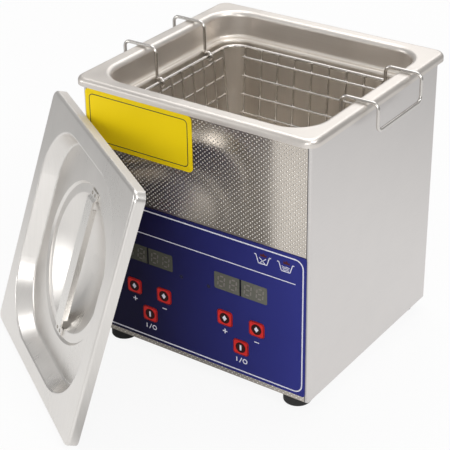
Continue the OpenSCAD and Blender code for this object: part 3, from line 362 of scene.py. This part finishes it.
def piece(name, bm, material, body, where=None, smooth=False):
    bmesh.ops.recalc_face_normals(bm, faces=bm.faces)
    mesh = bpy.data.meshes.new(name)
    bm.to_mesh(mesh)
    bm.free()
    mesh.transform(Matrix.Scale(MM, 4) if where is None else Matrix.Scale(MM, 4) @ where)
    if smooth:
        mesh.shade_smooth()
    mesh.materials.append(material)
    obj = bpy.data.objects.new(name, mesh)
    bpy.context.scene.collection.objects.link(obj)
    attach(obj, body)


# Raised dots of the embossed front sheet, left out under the overlay and the label

DOT_STEP_X, DOT_STEP_Z = 3.19, 1.46
DOT_R, DOT_H = 0.67, 0.10
DOT_SIDES = 6
# Loops of a dot, each as a share of its radius and of its height; the lower one is sunk into the sheet
DOT_LOOPS = ((0.55, 0.72), (1.0, -0.1))
# Bare edges of the sheet
DOT_FIRST, DOT_LAST, DOT_UNDER_RIM = 1.2, 1.0, 5


def covered(x, z):
    return any(low.x - DOT_R < x < high.x + DOT_R and low.z - DOT_R < z < high.z + DOT_R
               for low, high in ((PANEL_LOW, PANEL_HIGH), (LABEL_LOW, LABEL_HIGH)))


def dot(bm, x, z):
    top = bm.verts.new((x, PLATE_LOW.y - DOT_H, z))
    upper, lower = [[bm.verts.new((x + dx, PLATE_LOW.y - rise * DOT_H, z + dz))
                     for dx, dz in around(share * DOT_R, DOT_SIDES)] for share, rise in DOT_LOOPS]
    for k in range(DOT_SIDES):
        bm.faces.new((top, upper[k], upper[(k + 1) % DOT_SIDES]))
    bridge(bm, upper, lower)
    bm.faces.new(lower)


def embossed_dots():
    bm = bmesh.new()
    row = 0
    z = PLATE_LOW.z + DOT_FIRST
    while z < PLATE_HIGH.z - DOT_UNDER_RIM:
        x = PLATE_LOW.x + DOT_FIRST + (DOT_STEP_X / 2 if row % 2 else 0)
        while x < PLATE_HIGH.x - DOT_LAST:
            if not covered(x, z):
                dot(bm, x, z)
            x += DOT_STEP_X
        z += DOT_STEP_Z
        row += 1
    # The dots carry the painted-highlight copy of the sheet's steel
    piece("front_dots", bm, DOTS_PAINTED_HIGHLIGHT, "unit", smooth=True)


embossed_dots()


# Dark strips where the front sheet meets the side walls: painted shade of the narrow gap at that joint

JOINT_IN, JOINT_WIDTH, JOINT_RISE = 0.2, 0.5, 0.03


def plate_joint_shade_strips():
    bm = bmesh.new()
    for x in (PLATE_LOW.x + JOINT_IN, PLATE_HIGH.x - JOINT_IN):
        prism(bm, bar(x, PLATE_LOW.z, x, PLATE_HIGH.z, JOINT_WIDTH),
              PLATE_LOW.y - JOINT_RISE, PLATE_LOW.y + SUNK)
    piece("plate_joint_shade_strips", bm, DARK_STEEL, "unit")


plate_joint_shade_strips()


# Printing on the overlay: border, divider, two tank signs and a sign under each key

PRINT_RISE = 0.04
PRINT_FRONT, PRINT_BACK = PANEL_LOW.y - PRINT_RISE, PANEL_LOW.y + SUNK
BORDER_IN_X, BORDER_IN_Z, BORDER_WIDTH, BORDER_R = 1.5, 1.9, 0.85, 6.0
DIVIDER_IN, DIVIDER_DROP, DIVIDER_WIDTH = 7.2, 19.2, 0.6
# Middles of the two tank signs: the first is crossed out, the second is filled
TANK_SIGNS, TANK_SIGN_Z = (49.85, 66.1), 99.55
TANK_OUTLINE = ((-6.0, 2.75), (-4.8, 2.75), (-3.0, -2.75), (3.0, -2.75), (4.8, 2.75), (6.0, 2.75))
TANK_CROSS = ((-2.4, 1.2, 1.9, -2.5), (-2.2, -2.5, 2.4, 1.2))
TANK_LINE, CROSS_LINE, WAVE_LINE = 0.6, 0.5, 0.4
WAVE_LEVELS, WAVE_BENDS = (-1.7, -0.7, 0.3), (-0.8, 0.6)
WAVE_END, WAVE_GROWTH, WAVE_TILT = 2.2, 0.3, 0.25
FLAME = ((-2.2, -1.0), (2.2, -1.0), (2.4, 0.5), (1.3, 0.1), (0.2, 1.5), (-0.9, 0.2), (-2.1, 0.8))
FLAME_X, FLAME_Z = 0.5, 3.3
KEY_SIGNS = (("key_temp_up", "+"), ("key_temp_down", "-"), ("key_time_up", "+"), ("key_time_down", "-"),
             ("key_heat", "I/O"), ("key_clean", "I/O"))
KEY_SIGN_DROP, SIGN_LINE, SIGN_ARM = 9.6, 0.7, 1.7
ON_X, ON_ARM = -3.2, 1.6
SLASH_LEFT, SLASH_RIGHT, SLASH_ARM, SLASH_LINE = -1.2, 0.6, 1.9, 0.6
OFF_X, OFF_R, OFF_INNER = 3.0, 1.8, 1.15


def panel_line(bm, x0, z0, x1, z1, width):
    prism(bm, bar(x0, z0, x1, z1, width), PRINT_FRONT, PRINT_BACK)


def panel_border(bm):
    c = (PANEL_LOW + PANEL_HIGH) / 2
    h = (PANEL_HIGH - PANEL_LOW) / 2
    hx, hz = h.x - BORDER_IN_X, h.z - BORDER_IN_Z
    ring(bm, rounded(c.x, c.z, hx, hz, BORDER_R),
         rounded(c.x, c.z, hx - BORDER_WIDTH, hz - BORDER_WIDTH, BORDER_R - BORDER_WIDTH),
         PRINT_FRONT, PRINT_BACK)
    z = PANEL_HIGH.z - DIVIDER_DROP
    panel_line(bm, PANEL_LOW.x + DIVIDER_IN, z, PANEL_HIGH.x - DIVIDER_IN, z, DIVIDER_WIDTH)


def tank_signs(bm):
    for cx in TANK_SIGNS:
        for (x0, z0), (x1, z1) in zip(TANK_OUTLINE, TANK_OUTLINE[1:]):
            panel_line(bm, cx + x0, TANK_SIGN_Z + z0, cx + x1, TANK_SIGN_Z + z1, TANK_LINE)
    crossed, filled = TANK_SIGNS
    for x0, z0, x1, z1 in TANK_CROSS:
        panel_line(bm, crossed + x0, TANK_SIGN_Z + z0, crossed + x1, TANK_SIGN_Z + z1, CROSS_LINE)
    for k, level in enumerate(WAVE_LEVELS):
        z = TANK_SIGN_Z + level
        end = WAVE_END + WAVE_GROWTH * k
        bends = (-end, *WAVE_BENDS, end)
        for x0, x1, tilt in zip(bends, bends[1:], (WAVE_TILT, -WAVE_TILT, WAVE_TILT)):
            panel_line(bm, filled + x0, z + tilt, filled + x1, z - tilt, WAVE_LINE)


def key_sign(bm, x, z, sign):
    if sign in "+-":
        panel_line(bm, x - SIGN_ARM, z, x + SIGN_ARM, z, SIGN_LINE)
    if sign == "+":
        panel_line(bm, x, z - SIGN_ARM, x, z - SIGN_LINE / 2, SIGN_LINE)
        panel_line(bm, x, z + SIGN_LINE / 2, x, z + SIGN_ARM, SIGN_LINE)
    if sign == "I/O":
        panel_line(bm, x + ON_X, z - ON_ARM, x + ON_X, z + ON_ARM, SIGN_LINE)
        panel_line(bm, x + SLASH_LEFT, z - SLASH_ARM, x + SLASH_RIGHT, z + SLASH_ARM, SLASH_LINE)
        ring(bm, disc(x + OFF_X, z, OFF_R), disc(x + OFF_X, z, OFF_INNER), PRINT_FRONT, PRINT_BACK)


def panel_print():
    bm = bmesh.new()
    panel_border(bm)
    tank_signs(bm)
    for key, sign in KEY_SIGNS:
        c = middle(key)
        key_sign(bm, c.x, c.z - KEY_SIGN_DROP, sign)
    piece("panel_print", bm, PRINT, "unit")


def heat_signs():
    bm = bmesh.new()
    for cx in TANK_SIGNS:
        outline = [(cx + FLAME_X + x, TANK_SIGN_Z + FLAME_Z + z) for x, z in FLAME]
        prism(bm, outline, PRINT_FRONT, PRINT_BACK)
    piece("heat_signs", bm, DARK_RED_PRINT, "unit")


panel_print()
heat_signs()


# Thin border on the bare label

LABEL_IN, LABEL_LINE, LABEL_R, LABEL_RISE = 2.9, 0.55, 3.2, 0.03


def label_border():
    bm = bmesh.new()
    c = (LABEL_LOW + LABEL_HIGH) / 2
    h = (LABEL_HIGH - LABEL_LOW) / 2
    hx, hz = h.x - LABEL_IN, h.z - LABEL_IN
    ring(bm, rounded(c.x, c.z, hx, hz, LABEL_R),
         rounded(c.x, c.z, hx - LABEL_LINE, hz - LABEL_LINE, LABEL_R - LABEL_LINE),
         LABEL_LOW.y - LABEL_RISE, LABEL_LOW.y + SUNK)
    piece("label_border", bm, BLACK_PRINT, "unit")


label_border()


# Unlit digits in the display windows: two pairs with a dark joint between them

# Each segment lies flat or upright, with its middle in half widths and half heights of the digit
SEGMENTS = (("flat", 0, 1), ("flat", 0, 0), ("flat", 0, -1), ("upright", -1, 0.5), ("upright", 1, 0.5),
            ("upright", -1, -0.5), ("upright", 1, -0.5))
DIGIT_PLACES = (-14.2, -5.4, 5.4, 14.2)
DIGIT_HX, DIGIT_HZ, DIGIT_LEAN = 2.3, 3.5, 0.10
SEGMENT_T, SEGMENT_TIP = 1.0, 0.5
FLAT_SHORT, UPRIGHT_SHORT = 0.9, 0.3
DIGIT_RISE, SEAM_RISE, SEAM_WIDTH = 0.03, 0.04, 1.3


def segment(kind):
    """Six-sided bar with pointed ends."""
    t = SEGMENT_T / 2
    if kind == "flat":
        tip = DIGIT_HX - FLAT_SHORT
        end = tip - SEGMENT_TIP
        return [(-tip, 0), (-end, t), (end, t), (tip, 0), (end, -t), (-end, -t)]
    tip = DIGIT_HZ / 2 - UPRIGHT_SHORT
    end = tip - SEGMENT_TIP
    return [(0, tip), (t, end), (t, -end), (0, -tip), (-t, -end), (-t, end)]


def digits(name, window):
    low, high = box_mm(window)
    c = middle(window)
    bm = bmesh.new()
    for offset in DIGIT_PLACES:
        for kind, a, b in SEGMENTS:
            up = b * DIGIT_HZ
            prism(bm, [(c.x + offset + a * DIGIT_HX + x + (up + z) * DIGIT_LEAN, c.z + up + z)
                       for x, z in segment(kind)], low.y - DIGIT_RISE, low.y + SUNK)
    piece(name + "_ghosts", bm, GHOST, "unit")
    bm = bmesh.new()
    prism(bm, bar(c.x, low.z, c.x, high.z, SEAM_WIDTH), low.y - SEAM_RISE, low.y + SUNK)
    piece(name + "_joint", bm, SEAM, "unit")


digits("temperature", "temperature_window")
digits("timer", "timer_window")


# Dark round eye, dark edge line and white sign on each key

EYE_R, EYE_RISE = 3.7, 0.03
EDGE_HX, EDGE_HZ, EDGE_R, EDGE_WIDTH, EDGE_RISE = 5.35, 5.05, 1.9, 0.3, 0.02
BAR_HX, BAR_HZ, BAR_R = 0.65, 2.0, 0.3
DIAMOND_HX, DIAMOND_HZ = 1.6, 2.1
KEY_SIGN_RISE = 0.06


def key_marks(body, node, kind):
    c = middle(node)
    front = box_mm(node)[0].y
    bm = bmesh.new()
    prism(bm, disc(c.x, c.z, EYE_R, steps=28), front - EYE_RISE, front + SUNK)
    ring(bm, rounded(c.x, c.z, EDGE_HX, EDGE_HZ, EDGE_R),
         rounded(c.x, c.z, EDGE_HX - EDGE_WIDTH, EDGE_HZ - EDGE_WIDTH, EDGE_R - EDGE_WIDTH),
         front - EDGE_RISE, front + SUNK)
    piece(node + "_eye", bm, KEY_EYE, body)
    bm = bmesh.new()
    if kind == "bar":
        outline = rounded(c.x, c.z, BAR_HX, BAR_HZ, BAR_R, steps=3)
    else:
        outline = [(c.x, c.z + DIAMOND_HZ), (c.x - DIAMOND_HX, c.z), (c.x, c.z - DIAMOND_HZ),
                   (c.x + DIAMOND_HX, c.z)]
    prism(bm, outline, front - KEY_SIGN_RISE, front + SUNK)
    piece(node + "_sign", bm, PRINT, body)


for key, kind in (("temp_up", "diamond"), ("temp_down", "diamond"), ("heat", "bar"),
                  ("time_up", "diamond"), ("time_down", "diamond"), ("clean", "bar")):
    key_marks(key + "_key", "key_" + key, kind)


# Cross recesses of the screws on the rear wall, drawn as dark crosses: painted shade of the recesses

SCREW_HEAD_R = 2.8
CROSS_ARM, CROSS_WIDTH, CROSS_RISE, CROSS_DEPTH = 1.5, 0.6, 0.02, 0.3


def screw_crosses(name, places, y):
    bm = bmesh.new()
    half = CROSS_WIDTH / 2
    lines = ((-CROSS_ARM, 0, CROSS_ARM, 0), (0, -CROSS_ARM, 0, -half), (0, half, 0, CROSS_ARM))
    for x, z in places:
        for x0, z0, x1, z1 in lines:
            prism(bm, bar(x + x0, z + z0, x + x1, z + z1, CROSS_WIDTH), y + CROSS_RISE, y - CROSS_DEPTH)
    piece(name, bm, DARK_STEEL, "unit")


low, high = box_mm("fan_screws")
fan_places = [(x, z) for x in (low.x + SCREW_HEAD_R, high.x - SCREW_HEAD_R)
              for z in (low.z + SCREW_HEAD_R, high.z - SCREW_HEAD_R)]
screw_crosses("fan_screw_recesses", fan_places, high.y)
low, high = box_mm("inlet_screws")
inlet_places = [(x, (low.z + high.z) / 2) for x in (low.x + SCREW_HEAD_R, high.x - SCREW_HEAD_R)]
screw_crosses("inlet_screw_recesses", inlet_places, high.y)


# Signs on the two slopes of the rocker

ROCKER_AXIS = (-48, 74.75, 70)
ROCKER_TILT, ROCKER_DIP = math.radians(-8), math.radians(4.28)
ROCKER_SIGN_OUT, ROCKER_FACE = 4.2, 2.738
ROCKER_SIGN_R, ROCKER_SIGN_INNER, ROCKER_SIGN_LINE = 1.9, 1.4, 0.6
ROCKER_SIGN_DEPTH = (0.03, -0.1)


def rocker_sign(name, side, bm):
    where = (Matrix.Translation(ROCKER_AXIS) @ Matrix.Rotation(ROCKER_TILT, 4, "Z")
             @ Matrix.Translation((side * ROCKER_SIGN_OUT, ROCKER_FACE, 0))
             @ Matrix.Rotation(side * ROCKER_DIP, 4, "Z"))
    piece(name, bm, PRINT, "power_rocker", where)


def rocker_signs():
    bm = bmesh.new()
    ring(bm, disc(0, 0, ROCKER_SIGN_R), disc(0, 0, ROCKER_SIGN_INNER), *ROCKER_SIGN_DEPTH)
    rocker_sign("rocker_off_sign", 1, bm)
    bm = bmesh.new()
    prism(bm, bar(0, -ROCKER_SIGN_R, 0, ROCKER_SIGN_R, ROCKER_SIGN_LINE), *ROCKER_SIGN_DEPTH)
    rocker_sign("rocker_on_sign", -1, bm)


rocker_signs()


# Spot welds on the feet of the lid's strap, in the lid's own frame

STRAP_TOP, WELD_OUT, WELD_APART, WELD_STEPS = -10.7, 47.3, 2.4, 20
# Loops of a weld from its foot inwards, each as a radius and a height over the strap
WELD_LOOPS = ((1.35, -0.05), (1.15, 0.10), (0.8, 0.03), (0.4, 0.01))


def strap_welds():
    bm = bmesh.new()
    for cy in (-WELD_OUT, WELD_OUT):
        for cx in (-WELD_APART, WELD_APART):
            loops = [[bm.verts.new((cx + x, cy + y, STRAP_TOP + rise)) for x, y in around(r, WELD_STEPS)]
                     for r, rise in WELD_LOOPS]
            for a, b in zip(loops, loops[1:]):
                bridge(bm, a, b)
            bm.faces.new(loops[0])
            bm.faces.new(loops[-1])
    piece("strap_welds", bm, WELD, "lid", LID_FRAME, smooth=True)


strap_welds()


# Smooth skins over the middle of the lid's dish, front and back, where the CAD mesh runs into one point

# The dish is part of a sphere: its centre before the lid's own origin, and the radii of its two faces
DISH_CENTRE, DISH_FRONT_R, DISH_BACK_R = 63.01, 87.01, 87.91
SKIN_REACH, SKIN_RINGS, SKIN_STEPS, SKIN_RISE = 7.0, 6, 48, 0.03


def dish_skin(name, sphere_r, side):
    """Shallow cap of the dish's sphere; side is 1 on the lid's front and -1 on its back."""
    def height(r):
        return DISH_CENTRE - math.sqrt(sphere_r * sphere_r - r * r) + side * SKIN_RISE

    bm = bmesh.new()
    top = bm.verts.new((0, 0, height(0)))
    radii = [SKIN_REACH * (i + 1) / SKIN_RINGS for i in range(SKIN_RINGS)]
    loops = [[bm.verts.new((x, y, height(r))) for x, y in around(r, SKIN_STEPS)] for r in radii]
    edge = loops[-1]
    skin = [bm.faces.new((top, loops[0][k], loops[0][(k + 1) % SKIN_STEPS])) for k in range(SKIN_STEPS)]
    for a, b in zip(loops, loops[1:]):
        skin += bridge(bm, a, b)
    for face in skin:
        face.smooth = True
    under = [bm.verts.new(v.co - Vector((0, 0, side * 2 * SKIN_RISE))) for v in edge]
    bridge(bm, edge, under)
    bm.faces.new(under)
    for k in range(SKIN_STEPS):
        bm.edges.get((edge[k], edge[(k + 1) % SKIN_STEPS])).smooth = False
    piece(name, bm, LID, "lid", LID_FRAME)


dish_skin("dish_front_skin", DISH_FRONT_R, 1)
dish_skin("dish_back_skin", DISH_BACK_R, -1)


# Camera, fitted to the photograph: set back from the origin, then moved left and up, in metres

CAMERA_AZIMUTH, CAMERA_ELEVATION = math.radians(35.227), math.radians(28.774)
CAMERA_ROLL = math.radians(-0.904)
CAMERA_BACK, CAMERA_LEFT, CAMERA_UP = 0.970149, 0.02631, 0.064132
CAMERA_SENSOR, CAMERA_LENS = 36, 113.59
CAMERA_NEAR, CAMERA_FAR = 0.01, 50


def camera():
    az, el = CAMERA_AZIMUTH, CAMERA_ELEVATION
    back = Vector((math.sin(az) * math.cos(el), -math.cos(az) * math.cos(el), math.sin(el)))
    right = Vector((math.cos(az), math.sin(az), 0))
    up = back.cross(right)
    c, s = math.cos(CAMERA_ROLL), math.sin(CAMERA_ROLL)
    right, up = right * c + up * s, up * c - right * s
    where = back * CAMERA_BACK - right * CAMERA_LEFT + up * CAMERA_UP
    data = bpy.data.cameras.new("camera")
    data.sensor_width = CAMERA_SENSOR
    data.lens = CAMERA_LENS
    data.clip_start, data.clip_end = CAMERA_NEAR, CAMERA_FAR
    cam = bpy.data.objects.new("camera", data)
    bpy.context.scene.collection.objects.link(cam)
    cam.matrix_world = Matrix(((right.x, up.x, back.x, where.x), (right.y, up.y, back.y, where.y),
                               (right.z, up.z, back.z, where.z), (0, 0, 0, 1)))
    bpy.context.scene.camera = cam


camera()


# Floor, world and lamps, in metres

FLOOR_HALF, FLOOR_DROP, FLOOR_GREY = 6, 0.0004, 0.86
# Painted light on the mirrored floor: it is bright round one place before the object and dims with the
# distance
BRIGHT_PLACE, BRIGHT_R, DIM_R, DIM = (0.15, -0.25, 0), 0.4, 1.0, 0.4
# Painted shadow of the lid: close to the lid it is dark too, but only behind the line that the lid
# stands on
LID_PLACE, LID_DARK_R, LID_CLEAR_R, LID_DARK = (-0.06, -0.11, 0), 0.08, 0.16, 0.25
LID_INWARD = (-math.sin(LID_TURN), math.cos(LID_TURN), 0)
LID_DARK_LINE, LID_CLEAR_LINE = -0.145, -0.165
MIRRORED_FLOOR, FLOOR_SHARE = 0.85, 0.9
MIRRORED_SKY, SKY_LOW, SKY_HIGH = 0.6, 0.4, 0.95
SOFT_LIGHT = 0.42


def larger(tree, a, b):
    return calculate(tree, "MAXIMUM", a, b)


def seen_white(tree, mirrored):
    """How white the stage shows: 1 straight on, the share mirrored in metal and glass, 0 as light."""
    path = add(tree, "ShaderNodeLightPath")
    reflected = larger(tree, path.outputs["Is Glossy Ray"], path.outputs["Is Transmission Ray"])
    return larger(tree, path.outputs["Is Camera Ray"], calculate(tree, "MULTIPLY", reflected, mirrored))


def measure(tree, where, operation, vector):
    n = add(tree, "ShaderNodeVectorMath", operation=operation)
    tree.links.new(where.outputs["Object"], n.inputs[0])
    n.inputs[1].default_value = vector
    return n.outputs["Value"]


def floor_strength(tree):
    """Strength of the floor's white: full straight on, and shaded where metal mirrors it."""
    where = add(tree, "ShaderNodeTexCoord")
    far = spread(tree, measure(tree, where, "DISTANCE", BRIGHT_PLACE), 1.0, DIM, BRIGHT_R, DIM_R)
    from_lid = measure(tree, where, "DISTANCE", LID_PLACE)
    inward = measure(tree, where, "DOT_PRODUCT", LID_INWARD)
    lid_shade = larger(tree, spread(tree, from_lid, LID_DARK, 1.0, LID_DARK_R, LID_CLEAR_R),
                       spread(tree, inward, 1.0, LID_DARK, LID_CLEAR_LINE, LID_DARK_LINE))
    path = add(tree, "ShaderNodeLightPath")
    return larger(tree, path.outputs["Is Camera Ray"], calculate(tree, "MULTIPLY", far, lid_shade))


def floor():
    bm = bmesh.new()
    bmesh.ops.create_grid(bm, x_segments=1, y_segments=1, size=FLOOR_HALF)
    mesh = bpy.data.meshes.new("floor")
    bm.to_mesh(mesh)
    bm.free()
    obj = bpy.data.objects.new("floor", mesh)
    bpy.context.scene.collection.objects.link(obj)
    obj.location = (0, 0, -FLOOR_DROP)
    m = bpy.data.materials.new("floor")
    m.use_nodes = True
    tree = m.node_tree
    tree.nodes.clear()
    out = add(tree, "ShaderNodeOutputMaterial")
    matt = add(tree, "ShaderNodeBsdfDiffuse", Color=(FLOOR_GREY, FLOOR_GREY, FLOOR_GREY, 1))
    glow = add(tree, "ShaderNodeEmission", Color=(1, 1, 1, 1))
    tree.links.new(floor_strength(tree), glow.inputs["Strength"])
    share = calculate(tree, "MULTIPLY", seen_white(tree, MIRRORED_FLOOR), FLOOR_SHARE)
    mix = add(tree, "ShaderNodeMixShader")
    tree.links.new(share, mix.inputs["Fac"])
    tree.links.new(matt.outputs["BSDF"], mix.inputs[1])
    tree.links.new(glow.outputs["Emission"], mix.inputs[2])
    tree.links.new(mix.outputs["Shader"], out.inputs["Surface"])
    mesh.materials.append(m)


floor()


def world():
    w = bpy.data.worlds.new("studio")
    bpy.context.scene.world = w
    w.use_nodes = True
    tree = w.node_tree
    tree.nodes.clear()
    out = add(tree, "ShaderNodeOutputWorld")
    soft = add(tree, "ShaderNodeBackground", Color=(1, 1, 1, 1), Strength=SOFT_LIGHT)
    white = add(tree, "ShaderNodeBackground", Color=(1, 1, 1, 1), Strength=1.0)
    where = add(tree, "ShaderNodeTexCoord")
    apart = add(tree, "ShaderNodeSeparateXYZ")
    tree.links.new(where.outputs["Generated"], apart.inputs["Vector"])
    mirrored = spread(tree, apart.outputs["Z"], 0.0, MIRRORED_SKY, SKY_LOW, SKY_HIGH)
    mix = add(tree, "ShaderNodeMixShader")
    tree.links.new(seen_white(tree, mirrored), mix.inputs["Fac"])
    tree.links.new(soft.outputs["Background"], mix.inputs[1])
    tree.links.new(white.outputs["Background"], mix.inputs[2])
    tree.links.new(mix.outputs["Shader"], out.inputs["Surface"])


world()


def lamp(name, where, target, size, power):
    """Rectangular lamp at one place, turned to another."""
    data = bpy.data.lights.new(name, "AREA")
    data.shape = "RECTANGLE"
    data.size, data.size_y = size
    data.energy = power
    obj = bpy.data.objects.new(name, data)
    bpy.context.scene.collection.objects.link(obj)
    obj.location = where
    obj.rotation_mode = "QUATERNION"
    obj.rotation_quaternion = (Vector(target) - Vector(where)).to_track_quat("-Z", "Y")


lamp("key_light", (1.5, -0.5, 1.5), (0, 0, 0.1), (1.0, 1.0), 13)
lamp("top_light", (-0.3, 0.5, 2.0), (0, 0, 0.15), (1.4, 1.4), 14)
lamp("lid_light", (-1.6, -1.3, 0.5), (0, 0, 0.1), (0.8, 0.8), 6)
lamp("front_light", (0.7, -2.0, 0.5), (0, 0, 0.1), (1.2, 0.8), 10)
lamp("rim_light", (-0.24, 0.9, 0.75), (0, 0, 0.15), (0.75, 0.6), 1.35)


bpy.context.scene.view_settings.view_transform = "Standard"
